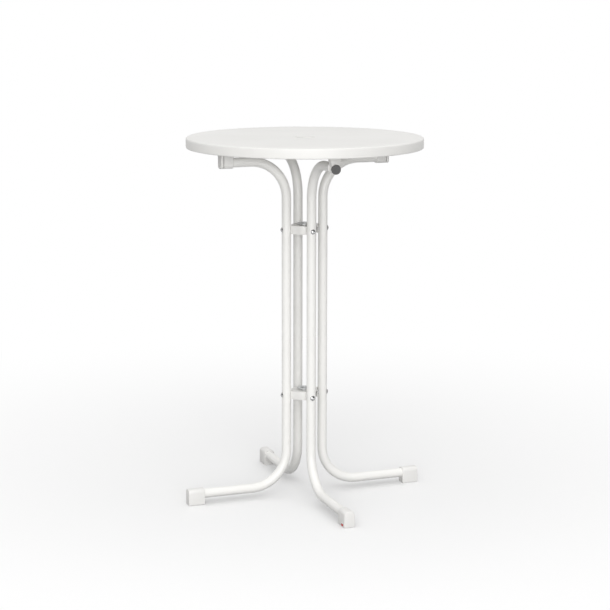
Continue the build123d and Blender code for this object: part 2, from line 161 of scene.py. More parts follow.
def surface(name, colour, shade, roughness, grain_mm, grain_height_mm,
            metallic=0.0, ior=1.5, patch_mm=60.0):
    """A Principled finish with grain of a real size, and slow patches of colour and gloss."""
    material, output = new_material(name)
    place = add_node(material, "ShaderNodeTexCoord").outputs["Object"]
    grain = add_node(
        material, "ShaderNodeTexNoise", {"noise_dimensions": "3D"},
        {"Vector": place, "Scale": MM_PER_METRE / grain_mm, "Detail": 2.0, "Roughness": 0.5},
    )
    patches = add_node(
        material, "ShaderNodeTexNoise", {"noise_dimensions": "3D"},
        {"Vector": place, "Scale": MM_PER_METRE / patch_mm, "Detail": 3.0, "Roughness": 0.55},
    )
    tint = add_node(
        material, "ShaderNodeMix", {"data_type": "RGBA"},
        {"Factor": patches.outputs["Fac"], "A": linear(colour), "B": linear(shade)},
    )
    gloss = add_node(
        material, "ShaderNodeMapRange", {},
        {"Value": patches.outputs["Fac"], "From Min": NOISE_LOW, "From Max": NOISE_HIGH,
         "To Min": roughness - GLOSS_SPREAD, "To Max": roughness + GLOSS_SPREAD},
    )
    bump = add_node(
        material, "ShaderNodeBump", {},
        {"Height": grain.outputs["Fac"], "Strength": 1.0, "Distance": grain_height_mm / MM_PER_METRE},
    )
    shader = add_node(
        material, "ShaderNodeBsdfPrincipled", {},
        {"Base Color": tint.outputs["Result"], "Roughness": gloss.outputs["Result"],
         "Normal": bump.outputs["Normal"], "Metallic": metallic, "IOR": ior},
    )
    material.node_tree.links.new(shader.outputs["BSDF"], output.inputs["Surface"])
    print("finish:", name)
    return material


# %% [markdown]
# ## Powder coat on the steel
# Polyester powder is sprayed on dry and melted in an oven. The melt levels out but for a faint orange peel,
# about 2 mm from hill to hill, and shines softly. On the pressed trays and levers the coat is duller than on
# the tubes, and its colour is drawn a little greyer as painted shade, for the shade that falls on them
# between the tubes; so they get a finish of their own.

# %% Powder coats
powder_coat = surface("white_powder_coat", "#F6F5F2", "#F1F0ED", 0.36, 2.0, 0.012)
# The sheet coat is the tube coat made greyer: painted shade, with a duller gloss.
shaded_sheet_coat = surface("powder_coat_with_painted_shade", "#EBEAE7", "#E5E4E1", 0.42, 2.0, 0.012)

# %% [markdown]
# ## White mouldings and the top
# - Polypropylene caps and holders: injection moulded in a spark-eroded tool, so their skin is finely matt.
# - The top: wood fibre pressed with melamine resin in a hot tool, which gives a hard, silky, pebbled skin.
# - The cover in its middle: a plain moulding in the white of the top.
#
# The moulding grain is really about 0.2 mm, too fine for this picture, so it is drawn at 0.8 mm.

# %% White plastics
cap_plastic = surface("moulded_polypropylene", "#EDECEA", "#E8E7E4", 0.50, 0.8, 0.020)
top_board = surface("pressed_melamine_board", "#EBEAE7", "#E8E7E4", 0.42, 1.2, 0.010, patch_mm=150.0)
cover_plastic = surface("moulded_cover_plastic", "#EBEAE7", "#E8E7E4", 0.46, 0.8, 0.012)

# %% [markdown]
# ## Plated steel and brass
# - Nickel-chrome plate on the bolts is polished, so each dome is a small mirror: its middle shows the
#   bright lamps and its edge the dark room.
# - Zinc plate on nuts, spacers, rivets and screws is put on in a barrel: dull and finely cloudy.
# - The threaded insert is turned brass, which keeps a fine tool mark.

# %% Metals
chrome_plate = surface("nickel_chrome_plate", "#B6B6B6", "#ABABAC", 0.12, 3.0, 0.002,
                       metallic=1.0, patch_mm=10.0)
zinc_plate = surface("zinc_plate", "#DADBDB", "#CCCDCE", 0.55, 1.0, 0.006, metallic=1.0, patch_mm=8.0)
brass = surface("turned_brass", "#C9AE6A", "#BFA25C", 0.28, 0.6, 0.006, metallic=1.0, patch_mm=6.0)

# %% [markdown]
# ## Nylon and rubber
# The knob and the thumb wheel are moulded nylon, grey and red: tough, with a fine matt skin for the grip.
# The pad under the front foot is grey rubber, dull all over, with the coarsest skin of all.

# %% Nylon and rubber
knob_nylon = surface("grey_moulded_nylon", "#646464", "#5D5D5D", 0.48, 0.8, 0.020)
red_nylon = surface("red_moulded_nylon", "#C4201A", "#B81A15", 0.42, 0.8, 0.015)
pad_rubber = surface("grey_rubber", "#5A5A59", "#525251", 0.70, 0.9, 0.030)

# %% [markdown]
# ## Finishes by slot
# The CAD record names a material slot for each node. A table from slot to finish dresses the CAD nodes, and
# later the same table dresses the new meshes.

# %% Finishes for the CAD nodes
FINISHES = {
    "powder_coated_steel": powder_coat,
    "cap_plastic": cap_plastic,
    "pressed_tabletop": top_board,
    "cover_plastic": cover_plastic,
    "chromed_bolts": chrome_plate,
    "zinc_steel": zinc_plate,
    "brass_insert": brass,
    "knob_plastic": knob_nylon,
    "red_plastic": red_nylon,
    "pad_rubber": pad_rubber,
}
NODE_SLOT = {row["node"]: row["material_slot"] for row in frame["record"]["subparts"]}
NODE_BODY = {
    node: body for body, names in frame["record"]["behaviour"]["bodies"].items() for node in names}
for node_name, node_object in frame["nodes"].items():
    for slot in node_object.material_slots:
        slot.material = FINISHES[NODE_SLOT[node_name]]
print("dressed", len(frame["nodes"]), "nodes from", len(FINISHES), "slots")

# %% [markdown]
# ## Outlines with rounded corners
# Nearly every piece here is an outline that is swept, turned or pushed. An outline is a few corners, each
# with the radius of its round, and this function puts the arcs in. Big rounds get more sides than small
# ones.

# %% Rounding an outline
BIG_ROUND_STEPS = 96
PLAIN_ROUND_STEPS = 48


def rounded(corners, closed=True, step_degrees=10):
    """Corners given as (x, y) or (x, y, radius) as a list of points with arcs at the corners."""
    places = [Vector(c[:2]) for c in corners]
    radii = [c[2] if len(c) > 2 else 0.0 for c in corners]
    count = len(places)
    points = []
    for i, (here, radius) in enumerate(zip(places, radii)):
        is_end = not closed and i in (0, count - 1)
        if radius == 0.0 or is_end:
            points.append(here)
            continue
        back = (places[i - 1] - here).normalized()
        ahead = (places[(i + 1) % count] - here).normalized()
        half = back.angle(ahead) / 2
        centre = here + (back + ahead).normalized() * (radius / math.sin(half))
        start = here + back * (radius / math.tan(half)) - centre
        turn = math.pi - 2 * half
        way = 1 if back.x * ahead.y - back.y * ahead.x < 0 else -1
        steps = max(2, math.ceil(math.degrees(turn) / step_degrees))
        for k in range(steps + 1):
            a = way * turn * k / steps
            x = start.x * math.cos(a) - start.y * math.sin(a)
            y = start.x * math.sin(a) + start.y * math.cos(a)
            points.append(centre + Vector((x, y)))
    return points


def circle(radius, x=0.0, y=0.0, steps=PLAIN_ROUND_STEPS):
    """Points of a circle."""
    turns = [2 * math.pi * k / steps for k in range(steps)]
    return [Vector((x + radius * math.cos(a), y + radius * math.sin(a))) for a in turns]


def rectangle(x0, x1, y0, y1, corner=0.0):
    """Corners of a rectangle, rounded alike."""
    return rounded([(x0, y0, corner), (x1, y0, corner), (x1, y1, corner), (x0, y1, corner)])


def dome(radius, rise, base, steps):
    """A shallow dome from its rim to its middle, as points of radius and height."""
    sphere = (radius**2 + rise**2) / (2 * rise)
    reaches = [radius * (1 - k / steps) for k in range(steps + 1)]
    return [(r, base + rise - sphere + math.sqrt(sphere**2 - r**2)) for r in reaches]


print("points of a square with rounded corners:", len(rectangle(0.0, 1.0, 0.0, 1.0, 0.2)))

# %% [markdown]
# ## Places along a leg
# Solids are made at the origin and set in place with a matrix, as a machinist sets a workpiece. Two
# placings do for nearly all of them: lying level along a leg, and facing out at the end of an arm.


# %% Placing frames
def direction(angle):
    """Level unit vector along a leg."""
    return Vector((math.cos(math.radians(angle)), math.sin(math.radians(angle)), 0))


def axes_matrix(x_axis, y_axis, z_axis, origin):
    """A matrix from three axes and an origin."""
    matrix = Matrix((x_axis, y_axis, z_axis)).transposed().to_4x4()
    matrix.translation = origin
    return matrix


def facing_out(angle, radius, height):
    """Frame at the end of an arm: x sideways, y up, z outwards."""
    out = direction(angle)
    up = Vector((0, 0, 1))
    return axes_matrix(up.cross(out), up, out, out * radius + up * height)


def lying(angle, height):
    """Level frame: x outwards along a leg, y sideways, z up."""
    out = direction(angle)
    up = Vector((0, 0, 1))
    return axes_matrix(out, up.cross(out), up, up * height)


print("the front leg points along", [round(v, 3) for v in direction(LEGS["front"])])

# %% [markdown]
# ## Turned pieces
# Discs, heads, rivets and the top itself are round, so they are turned: an outline of radius and height
# goes round an axis, as on a lathe. A point on the axis becomes a single vertex, so a face or a dome closes
# cleanly.

# %% Turning
ON_THE_AXIS = 1e-7


def mesh_object(name, shape):
    """Turns a bmesh into an object in the scene."""
    bmesh.ops.recalc_face_normals(shape, faces=shape.faces)
    mesh = bpy.data.meshes.new(name)
    shape.to_mesh(mesh)
    shape.free()
    piece = bpy.data.objects.new(name, mesh)
    bpy.context.collection.objects.link(piece)
    return piece


def turned(name, outline, place=None, steps=BIG_ROUND_STEPS, closed=True):
    """Turns an outline of (radius, height) points round the z axis of its place."""
    shape = bmesh.new()
    place = place or Matrix.Identity(4)
    angles = [2 * math.pi * k / steps for k in range(steps)]
    rings = []
    for radius, height in outline:
        if radius < ON_THE_AXIS:
            rings.append([shape.verts.new(place @ Vector((0, 0, height)))])
            continue
        rings.append([
            shape.verts.new(place @ Vector((radius * math.cos(a), radius * math.sin(a), height)))
            for a in angles])
    following = rings[1:] + rings[:1] if closed else rings[1:]
    for low, high in zip(rings, following):
        if len(low) == 1 and len(high) == 1:
            continue
        for k in range(steps):
            nxt = k + 1
            corners = [low[k % len(low)], low[nxt % len(low)], high[nxt % len(high)], high[k % len(high)]]
            shape.faces.new(list(dict.fromkeys(corners)))
    return mesh_object(name, shape)


# %% [markdown]
# ## Pushed pieces
# Caps, holders and cut sheet keep one outline over their depth, so the outline is extruded along its
# normal.


# %% Pushing
def pushed(name, outline, start, depth, place=None):
    """Extrudes an outline from z = start by depth in its place."""
    shape = bmesh.new()
    place = place or Matrix.Identity(4)
    near = [shape.verts.new(place @ Vector((p[0], p[1], start))) for p in outline]
    far = [shape.verts.new(place @ Vector((p[0], p[1], start + depth))) for p in outline]
    shape.faces.new(near)
    shape.faces.new(far)
    for k in range(len(near)):
        nxt = (k + 1) % len(near)
        shape.faces.new([near[k], near[nxt], far[nxt], far[k]])
    return mesh_object(name, shape)


# %% [markdown]
# ## Bent tube
# A curve with a bevel would give the outside of a tube only. Here two rings, the outside and the bore, are
# carried along a route in one upright plane, so the tube has its wall and an open end looks like tube.

# %% Bending
TUBE_STEPS = 64


def bent_tube(name, route, side, radius, wall):
    """A tube along a flat route; side is the level vector square to the route's plane."""
    shape = bmesh.new()
    angles = [2 * math.pi * k / TUBE_STEPS for k in range(TUBE_STEPS)]
    skins = []
    for bore in (radius, radius - wall):
        run = []
        for i, point in enumerate(route):
            ahead = (route[min(i + 1, len(route) - 1)] - route[max(i - 1, 0)]).normalized()
            across = ahead.cross(side).normalized()
            run.append([
                shape.verts.new(point + side * bore * math.cos(a) + across * bore * math.sin(a))
                for a in angles])
        skins.append(run)
    outer, inner = skins
    for run in skins:
        for low, high in zip(run, run[1:]):
            for k in range(TUBE_STEPS):
                nxt = (k + 1) % TUBE_STEPS
                shape.faces.new([low[k], low[nxt], high[nxt], high[k]])
    for end in (0, -1):
        for k in range(TUBE_STEPS):
            nxt = (k + 1) % TUBE_STEPS
            shape.faces.new([outer[end][k], outer[end][nxt], inner[end][nxt], inner[end][k]])
    return mesh_object(name, shape)


# %% [markdown]
# ## Cutting and joining
# A cut or a join is a boolean modifier, set to its exact solver because many faces here touch or lie in one
# plane. It is applied at once, so the next tool meets a plain mesh.


# %% Booleans
def bake(piece):
    """Applies what is on the piece's modifier stack to its mesh."""
    graph = bpy.context.evaluated_depsgraph_get()
    mesh = bpy.data.meshes.new_from_object(piece.evaluated_get(graph))
    piece.modifiers.clear()
    old = piece.data
    piece.data = mesh
    bpy.data.meshes.remove(old)


def combine(piece, tools, operation):
    """Cuts the tools from the piece, or joins them to it, and removes them."""
    for tool in tools:
        modifier = piece.modifiers.new("combine", "BOOLEAN")
        modifier.operation = operation
        modifier.solver = "EXACT"
        modifier.object = tool
        bake(piece)
        bpy.data.objects.remove(tool)
    return piece


# %% [markdown]
# ## Softening the edges
# A real moulding or pressing has no knife edge, so the bevel comes last, on the sharp edges only, and every
# corner catches a thin line of light. Flat faces that a boolean has split are merged first, so the bevel
# runs through.

# %% Bevels
MERGE_DISTANCE = 1e-6
FLAT_DEGREES = 0.5
BEVEL_DEGREES = 35
SHARP_DEGREES = 38
BEVEL_SEGMENTS = 3


def soften(piece, width=0.0):
    """Bevels sharp edges by a width and shades the rest smooth."""
    if width > 0:
        shape = bmesh.new()
        shape.from_mesh(piece.data)
        bmesh.ops.remove_doubles(shape, verts=shape.verts, dist=MERGE_DISTANCE)
        bmesh.ops.dissolve_limit(
            shape, angle_limit=math.radians(FLAT_DEGREES), verts=shape.verts, edges=shape.edges)
        shape.to_mesh(piece.data)
        shape.free()
        modifier = piece.modifiers.new("bevel", "BEVEL")
        modifier.width = width
        modifier.segments = BEVEL_SEGMENTS
        modifier.limit_method = "ANGLE"
        modifier.angle_limit = math.radians(BEVEL_DEGREES)
        bake(piece)
    piece.data.polygons.foreach_set("use_smooth", [True] * len(piece.data.polygons))
    piece.data.set_sharp_from_angle(angle=math.radians(SHARP_DEGREES))
    return piece


# %% [markdown]
# ## Standing in for a CAD node
# A finished mesh takes over from its CAD node: it moves with the same body, wears the finish of the
# node's slot unless another finish is given, and the node itself is hidden.


# %% Taking over from a node
def stand_for(piece, node_name, finish=None):
    """Gives the piece its node's body and its slot's finish, or the finish given, and hides the node."""
    piece.data.materials.clear()
    piece.data.materials.append(finish or FINISHES[NODE_SLOT[node_name]])
    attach(piece, NODE_BODY[node_name])
    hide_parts(node_name)
    print("made", piece.name, len(piece.data.polygons), "faces")


# %% [markdown]
# ## The top
# A fibre mat is pressed in a heated mould, so the top is one shell: a thick plate whose rim hangs lower,
# with a round where the face meets the rim. It is turned from its section, the way it would be drawn. The
# section also has the hole for the pole and the shallow seat of the cover.

# %% Tabletop
PLATE_THICKNESS = 0.020
RIM_WIDTH = 0.015
RIM_TOP_ROUND = 0.005
RIM_BOTTOM_ROUND = 0.003
RECESS_ROUND = 0.006
POLE_HOLE_RADIUS = 0.020
COVER_RADIUS = 0.0270
COVER_GAP = 0.0018
COVER_FLANGE = 0.002
HOLE_EDGE = 0.0009
TOP_STEPS = 256
plate_underside = TOP_HEIGHT - PLATE_THICKNESS
top_section = rounded([
    (POLE_HOLE_RADIUS, plate_underside, HOLE_EDGE),
    (POLE_HOLE_RADIUS, TOP_HEIGHT - COVER_FLANGE, HOLE_EDGE),
    (COVER_RADIUS + COVER_GAP, TOP_HEIGHT - COVER_FLANGE, HOLE_EDGE),
    (COVER_RADIUS + COVER_GAP, TOP_HEIGHT, HOLE_EDGE),
    (TOP_RADIUS, TOP_HEIGHT, RIM_TOP_ROUND),
    (TOP_RADIUS, RIM_BOTTOM, RIM_BOTTOM_ROUND),
    (TOP_RADIUS - RIM_WIDTH, RIM_BOTTOM, RIM_BOTTOM_ROUND),
    (TOP_RADIUS - RIM_WIDTH, plate_underside, RECESS_ROUND),
])
top = turned("pressed_top", top_section, steps=TOP_STEPS)
soften(top)
stand_for(top, "tabletop")

# %% [markdown]
# ## The cover in the middle of the top
# A thin moulded lid closes the hole for the pole. Its face is a shallow dome, and the groove around it is
# the only line that breaks the top. From five metres away the real groove would vanish, so it is drawn a
# little wider and the lid stands a little proud.

# %% Cover
COVER_DOME = 0.0012
COVER_DOME_STEPS = 12
COVER_LIFT = 0.0014
COVER_SKIRT = 0.012
COVER_WALL = 0.0025
COVER_PLUG_GAP = 0.0004
COVER_EDGE = 0.0008
cover_edge = TOP_HEIGHT - COVER_FLANGE
cover_rim = TOP_HEIGHT + COVER_LIFT
plug_radius = POLE_HOLE_RADIUS - COVER_PLUG_GAP
cover_dome = dome(COVER_RADIUS, COVER_DOME, cover_rim, COVER_DOME_STEPS)
cover_side = rounded([
    (plug_radius - COVER_WALL, cover_edge, 0.0),
    (plug_radius - COVER_WALL, cover_edge - COVER_SKIRT, COVER_EDGE),
    (plug_radius, cover_edge - COVER_SKIRT, COVER_EDGE),
    (plug_radius, cover_edge, 0.0),
    (COVER_RADIUS, cover_edge, COVER_EDGE),
    (COVER_RADIUS, cover_rim, COVER_EDGE),
    cover_dome[1],
], closed=False)
cover_section = [(0.0, cover_edge)] + [tuple(p) for p in cover_side] + cover_dome[2:]
cover = turned("hole_cover", cover_section, closed=False)
soften(cover)
stand_for(cover, "centre_cover")

# %% [markdown]
# ## The four tubes
# Each leg is one length of 28 mm steel tube, bent twice on the same former: arm, column, foot. The route is
# three straight runs with two arcs. The front arm is shorter, because the lock knob needs room under the
# rim.

# %% Legs
BEND_STEP_DEGREES = 3


def leg_route(reach):
    """Points of a tube's centre line, as distance out from the middle and height."""
    return rounded([
        (reach, ARM_HEIGHT),
        (COLUMN_RADIUS, ARM_HEIGHT, BEND_RADIUS),
        (COLUMN_RADIUS, FOOT_HEIGHT, BEND_RADIUS),
        (FOOT_REACH - CAP_END_WALL, FOOT_HEIGHT),
    ], closed=False, step_degrees=BEND_STEP_DEGREES)


for leg, angle in LEGS.items():
    out = direction(angle)
    line = [out * p.x + Vector((0, 0, p.y)) for p in leg_route(ARM_REACH[leg] - CAP_END_WALL)]
    tube = bent_tube(f"tube_{leg}", line, Vector((0, 0, 1)).cross(out), TUBE_RADIUS, TUBE_WALL)
    soften(tube)
    stand_for(tube, f"leg_{leg}")

# %% [markdown]
# ## The moulding of the caps
# One moulding family: a block with one flat side, which stands on the floor or carries the top, and one
# rounded side that hugs the tube. It is hollow behind the flat side, with a rib, to keep the wall even and
# save plastic.

# %% Cap moulding
CAP_BORE_STEPS = 64


def cap_outline(flat_up):
    """Outline of a cap round the tube's axis."""
    half = CAP_WIDTH / 2
    sign = 1 if flat_up else -1
    return rounded([
        (-half, sign * FOOT_HEIGHT, CAP_FLAT_CORNER), (half, sign * FOOT_HEIGHT, CAP_FLAT_CORNER),
        (half, -sign * CAP_ROUND_SIDE, CAP_TOP_CORNER), (-half, -sign * CAP_ROUND_SIDE, CAP_TOP_CORNER),
    ])


def cap(name, angle, axis_height, reach, length, flat_up, rib):
    """A cap over a tube's end: softened block, bore, and the hollow behind its flat side."""
    place = facing_out(angle, reach - length, axis_height)
    body = pushed(name, cap_outline(flat_up), 0.0, length, place)
    soften(body, CAP_EDGE)
    bore_circle = circle(TUBE_RADIUS + TUBE_GAP, steps=CAP_BORE_STEPS)
    tools = [pushed("bore", bore_circle, -OVERRUN, length - CAP_END_WALL + OVERRUN, place)]
    flat_place = lying(angle, axis_height + FOOT_HEIGHT * (1 if flat_up else -1))
    depth = FOOT_HEIGHT - TUBE_RADIUS - CAP_WALL
    start = -depth if flat_up else -OVERRUN
    inside = CAP_WIDTH / 2 - CAP_WALL
    first = reach - length + CAP_END_WALL
    last = reach - CAP_END_WALL
    middle = (first + last) / 2
    spans = [(first, middle - CAP_RIB / 2), (middle + CAP_RIB / 2, last)] if rib else [(first, last)]
    for x0, x1 in spans:
        hollow = rectangle(x0, x1, -inside, inside, CAP_EDGE)
        tools.append(pushed("hollow", hollow, start, depth + OVERRUN, flat_place))
    return combine(body, tools, "DIFFERENCE")


# %% [markdown]
# ## Caps on the tubes
# The front foot's cap has no rib and a window through both sides instead, where the thumb wheel of the
# level adjuster looks out. The arms' caps are the same shape upside down and shorter.

# %% Caps
WHEEL_FROM_END = 0.018
STUD_RADIUS = 0.004
WHEEL_RADIUS = 0.0174
WHEEL_THICKNESS = 0.005
WHEEL_HEIGHT = 0.0035
WINDOW_GAP = 0.0003
wheel_centre = FOOT_REACH - WHEEL_FROM_END
for leg, angle in LEGS.items():
    is_front = leg == "front"
    foot = cap(f"foot_boot_{leg}", angle, FOOT_HEIGHT, FOOT_REACH, FOOT_CAP_LENGTH, False, not is_front)
    if is_front:
        window_circle = circle(WHEEL_RADIUS + WINDOW_GAP, wheel_centre, 0.0, BIG_ROUND_STEPS)
        window = pushed("window", window_circle, WHEEL_HEIGHT - WINDOW_GAP,
                        WHEEL_THICKNESS + 2 * WINDOW_GAP, lying(angle, 0.0))
        combine(foot, [window], "DIFFERENCE")
    soften(foot)
    stand_for(foot, f"foot_cap_{leg}")
    if not is_front:
        arm = cap(f"arm_boot_{leg}", angle, ARM_HEIGHT, ARM_REACH[leg], ARM_CAP_LENGTH, True, False)
        soften(arm)
        stand_for(arm, f"arm_cap_{leg}")

# %% [markdown]
# ## The round cap of the front arm
# The front arm ends in a small round cap. A boss on it reaches into the tube and holds the threaded insert
# of the lock knob, a little below the tube's middle. Disc and boss are joined, then pocket and passage are
# cut.

# %% Round cap of the front arm
FRONT_CAP_RADIUS = 0.0165
FRONT_CAP_LENGTH = 0.007
KNOB_DROP = 0.0025
INSERT_RADIUS = 0.005
INSERT_LENGTH = 0.009
SPINDLE_RADIUS = 0.003
SPINDLE_GAP = 0.0004
knob_height = ARM_HEIGHT - KNOB_DROP
cap_bore = TUBE_RADIUS + TUBE_GAP
cap_bore_end = FRONT_CAP_LENGTH - CAP_END_WALL
front_cap_side = rounded([
    (cap_bore, 0.0),
    (FRONT_CAP_RADIUS, 0.0, CAP_EDGE / 3),
    (FRONT_CAP_RADIUS, FRONT_CAP_LENGTH, CAP_EDGE),
    (0.0, FRONT_CAP_LENGTH),
], closed=False)
front_cap_section = [(0.0, cap_bore_end), (cap_bore, cap_bore_end)] + [tuple(p) for p in front_cap_side]
front_cap_place = facing_out(LEGS["front"], ARM_REACH["front"] - FRONT_CAP_LENGTH, ARM_HEIGHT)
front_cap = turned("arm_boot_front", front_cap_section, front_cap_place, closed=False)

boss_start = ARM_REACH["front"] - CAP_END_WALL - INSERT_LENGTH
boss_place = facing_out(LEGS["front"], boss_start, ARM_HEIGHT)
insert_place = facing_out(LEGS["front"], boss_start, knob_height)
boss_circle = circle(TUBE_RADIUS - TUBE_WALL - TUBE_GAP)
boss = pushed("boss", boss_circle, 0.0, INSERT_LENGTH + OVERRUN / 2, boss_place)
combine(front_cap, [boss], "UNION")
pocket_circle = circle(INSERT_RADIUS + FIT_GAP)
passage_circle = circle(SPINDLE_RADIUS + SPINDLE_GAP)
combine(front_cap, [
    pushed("pocket", pocket_circle, -OVERRUN, INSERT_LENGTH + OVERRUN, insert_place),
    pushed("passage", passage_circle, 0.0, INSERT_LENGTH + CAP_END_WALL + OVERRUN, insert_place),
], "DIFFERENCE")
soften(front_cap)
stand_for(front_cap, "arm_cap_front")

# %% [markdown]
# ## The trays
# A tray is pressed from 3 mm sheet and ties the front and back tubes together. Its plate lies over the
# lever and hides most of it. Two wings have folded skirts that end in tabs for the bolts, and each has an
# ear that is bent out towards a side leg. The skirt is a solid wing with its inside cut out; the press
# leaves a soft edge all round.

# %% Trays
CONNECTOR_LEVELS = {"lower": 0.312, "upper": 0.814}
CONNECTOR_HALF = 0.0125
SHEET = 0.003
SHEET_EDGE = 0.0006
DISC_RADIUS = 0.0395
WING_RADIUS = 0.040
WING_STEPS = 12
EAR_START_ANGLE = 31.0
EAR_TURN = 36.5
EAR_LENGTH = 0.0167
NECK_HALF_WIDTH = 0.008
TAB_FACE = 0.0396
LEVER_HALF_WIDTH = 0.0125
LEVER_SIDE_GAP = 0.002
EYELET_RADIUS = 0.0135
BOLT_RADIUS = 0.003


def wing_outline(radius, tab, start, end):
    """Plan of one wing in the front-left quarter: an arc between two angles, then the neck."""
    angles = [start + (end - start) * k / WING_STEPS for k in range(WING_STEPS + 1)]
    return [(radius * math.cos(a), radius * math.sin(a)) for a in angles] + [(NECK_HALF_WIDTH, -tab)]


def connector_holes(legs, level, sheet_top, start, depth):
    """Cutting tools: the eye for the rivet in a sheet, and a hole for each of two bolts."""
    eye = circle(EYELET_RADIUS + FIT_GAP, steps=BIG_ROUND_STEPS)
    tools = [pushed("eye", eye, sheet_top - SHEET - OVERRUN, SHEET + 2 * OVERRUN)]
    for leg in legs:
        place = facing_out(LEGS[leg], 0.0, level)
        tools.append(pushed("bolt hole", circle(BOLT_RADIUS + FIT_GAP), start, depth, place))
    return tools


def tray(name, level):
    """A tray: round plate, two wings, and the skirts, tabs and ears that hang from them."""
    top = level + CONNECTOR_HALF
    low = level - CONNECTOR_HALF
    height = 2 * CONNECTOR_HALF
    lever_edge = LEVER_HALF_WIDTH + LEVER_SIDE_GAP
    start = math.pi + math.asin(lever_edge / WING_RADIUS)
    end = 1.5 * math.pi - math.acos(TAB_FACE / WING_RADIUS)
    wing = wing_outline(WING_RADIUS, TAB_FACE, start, end)
    wing = [Vector(p) for p in wing + [(NECK_HALF_WIDTH, -lever_edge)]]

    inner_radius = WING_RADIUS - SHEET
    inner_tab = TAB_FACE - SHEET
    inner_end = 1.5 * math.pi - math.acos(inner_tab / inner_radius)
    past_neck = NECK_HALF_WIDTH + OVERRUN
    hollow = wing_outline(inner_radius, inner_tab, math.pi, inner_end)
    hollow = [Vector(p) for p in hollow[:-1] + [(past_neck, -inner_tab), (past_neck, 0.0)]]

    plate = pushed(name, circle(DISC_RADIUS, steps=BIG_ROUND_STEPS), top - SHEET, SHEET)
    ear = rectangle(0.0, EAR_LENGTH, -SHEET / 2, SHEET / 2)
    ear_start = direction(EAR_START_ANGLE) * (SHEET / 2 - WING_RADIUS)
    ear_place = Matrix.Translation(ear_start) @ Matrix.Rotation(math.radians(180 - EAR_TURN), 4, "Z")
    added = []
    for turn in (0, 180):
        place = Matrix.Rotation(math.radians(turn), 4, "Z")
        added.append(pushed("ear", ear, low, height, place @ ear_place))
        added.append(pushed("wing", wing, top - SHEET, SHEET, place))
        skirt = pushed("skirt", wing, low, height, place)
        inside = pushed("inside", hollow, low - OVERRUN, height + 2 * OVERRUN, place)
        added.append(combine(skirt, [inside], "DIFFERENCE"))
    combine(plate, added, "UNION")
    combine(plate, connector_holes(FIXED_PAIR, level, top, 0.0, TAB_FACE + OVERRUN), "DIFFERENCE")
    return soften(plate, SHEET_EDGE)


# %% [markdown]
# ## The levers
# A lever is a flat bar under the tray's plate, with a round eye that turns on the rivet and an upright tab
# at each end for the bolts of the left and right tubes. Tray and lever go in by pairs, one pair at each
# level.

# %% Levers
LEVER_EYE_RADIUS = 0.020


def lever(name, level):
    """A lever: bar with a round eye, and a tab at each end."""
    bar_top = level + CONNECTOR_HALF - SHEET - WINDOW_GAP
    bar_outline = rectangle(-TAB_FACE, TAB_FACE, -LEVER_HALF_WIDTH, LEVER_HALF_WIDTH)
    bar = pushed(name, bar_outline, bar_top - SHEET, SHEET)
    eye_disc = circle(LEVER_EYE_RADIUS, steps=BIG_ROUND_STEPS)
    added = [pushed("eye disc", eye_disc, bar_top - SHEET, SHEET)]
    tab = rectangle(-LEVER_HALF_WIDTH, LEVER_HALF_WIDTH, -CONNECTOR_HALF, bar_top - level, SHEET / 2)
    for leg in SWING_PAIR:
        added.append(pushed("tab", tab, 0.0, SHEET, facing_out(LEGS[leg], TAB_FACE - SHEET, level)))
    combine(bar, added, "UNION")
    holes = connector_holes(SWING_PAIR, level, bar_top, TAB_FACE - 2 * SHEET, 2 * SHEET + OVERRUN)
    combine(bar, holes, "DIFFERENCE")
    return soften(bar, SHEET_EDGE)


# Trays and levers wear the greyer sheet coat, whose extra grey is painted shade.
for level_name, level in CONNECTOR_LEVELS.items():
    stand_for(tray(f"pressed_tray_{level_name}", level), f"{level_name}_tray", shaded_sheet_coat)
    stand_for(lever(f"swing_bar_{level_name}", level), f"{level_name}_lever", shaded_sheet_coat)

# %% [markdown]
# ## Hollow rivets
# Each lever turns on a hollow rivet that is open in the middle, so that a pole can pass. It stands on a
# collar on top of the tray, with a wide head, and is rolled over below the lever. All of it is round, so it
# is turned.

# %% Hollow rivets
POLE_RADIUS = 0.012
EYELET_FOOT_RADIUS = 0.017
EYELET_FLANGE = 0.0012
EYELET_LIP_SHARE = 0.45
COLLAR_RADIUS = 0.0147
COLLAR_HEIGHT = 0.0048
EYELET_HEAD_RADIUS = 0.0225
eyelet_lip = EYELET_FLANGE * EYELET_LIP_SHARE
for level_name, level in CONNECTOR_LEVELS.items():
    tray_top = level + CONNECTOR_HALF
    head_low = tray_top + COLLAR_HEIGHT
    head_top = head_low + EYELET_FLANGE
    rivet_low = tray_top - 2 * SHEET - 2 * WINDOW_GAP - EYELET_FLANGE
    rivet_section = rounded([
        (POLE_RADIUS, rivet_low, eyelet_lip),
        (EYELET_FOOT_RADIUS, rivet_low, eyelet_lip),
        (EYELET_FOOT_RADIUS, rivet_low + EYELET_FLANGE, eyelet_lip),
        (EYELET_RADIUS, rivet_low + EYELET_FLANGE),
        (EYELET_RADIUS, tray_top),
        (COLLAR_RADIUS, tray_top),
        (COLLAR_RADIUS, head_low),
        (EYELET_HEAD_RADIUS, head_low, eyelet_lip),
        (EYELET_HEAD_RADIUS, head_top, eyelet_lip),
        (POLE_RADIUS, head_top, eyelet_lip),
    ])
    rivet = turned(f"hollow_rivet_{level_name}", rivet_section)
    soften(rivet)
    stand_for(rivet, f"{level_name}_pivot_eyelet")

# %% [markdown]
# ## Bolts
# One bolt goes through each tube at each level. Its head is a shallow dome outside the tube, with a hexagon
# socket for a key. The bolt is turned in one piece from its far end to its crown, and the socket is cut
# after.

# %% Bolts
HEAD_RADIUS = 0.0075
HEAD_EDGE = 0.001
HEAD_DOME = 0.003
HEAD_DOME_STEPS = 8
SOCKET_RADIUS = 0.0023
SOCKET_DEPTH = 0.0022
NUT_THICKNESS = 0.005
BOLT_BEYOND = 0.0015
tube_outer = COLUMN_RADIUS + TUBE_RADIUS
tube_inner = COLUMN_RADIUS - TUBE_RADIUS
nut_start = TAB_FACE - SHEET - NUT_THICKNESS


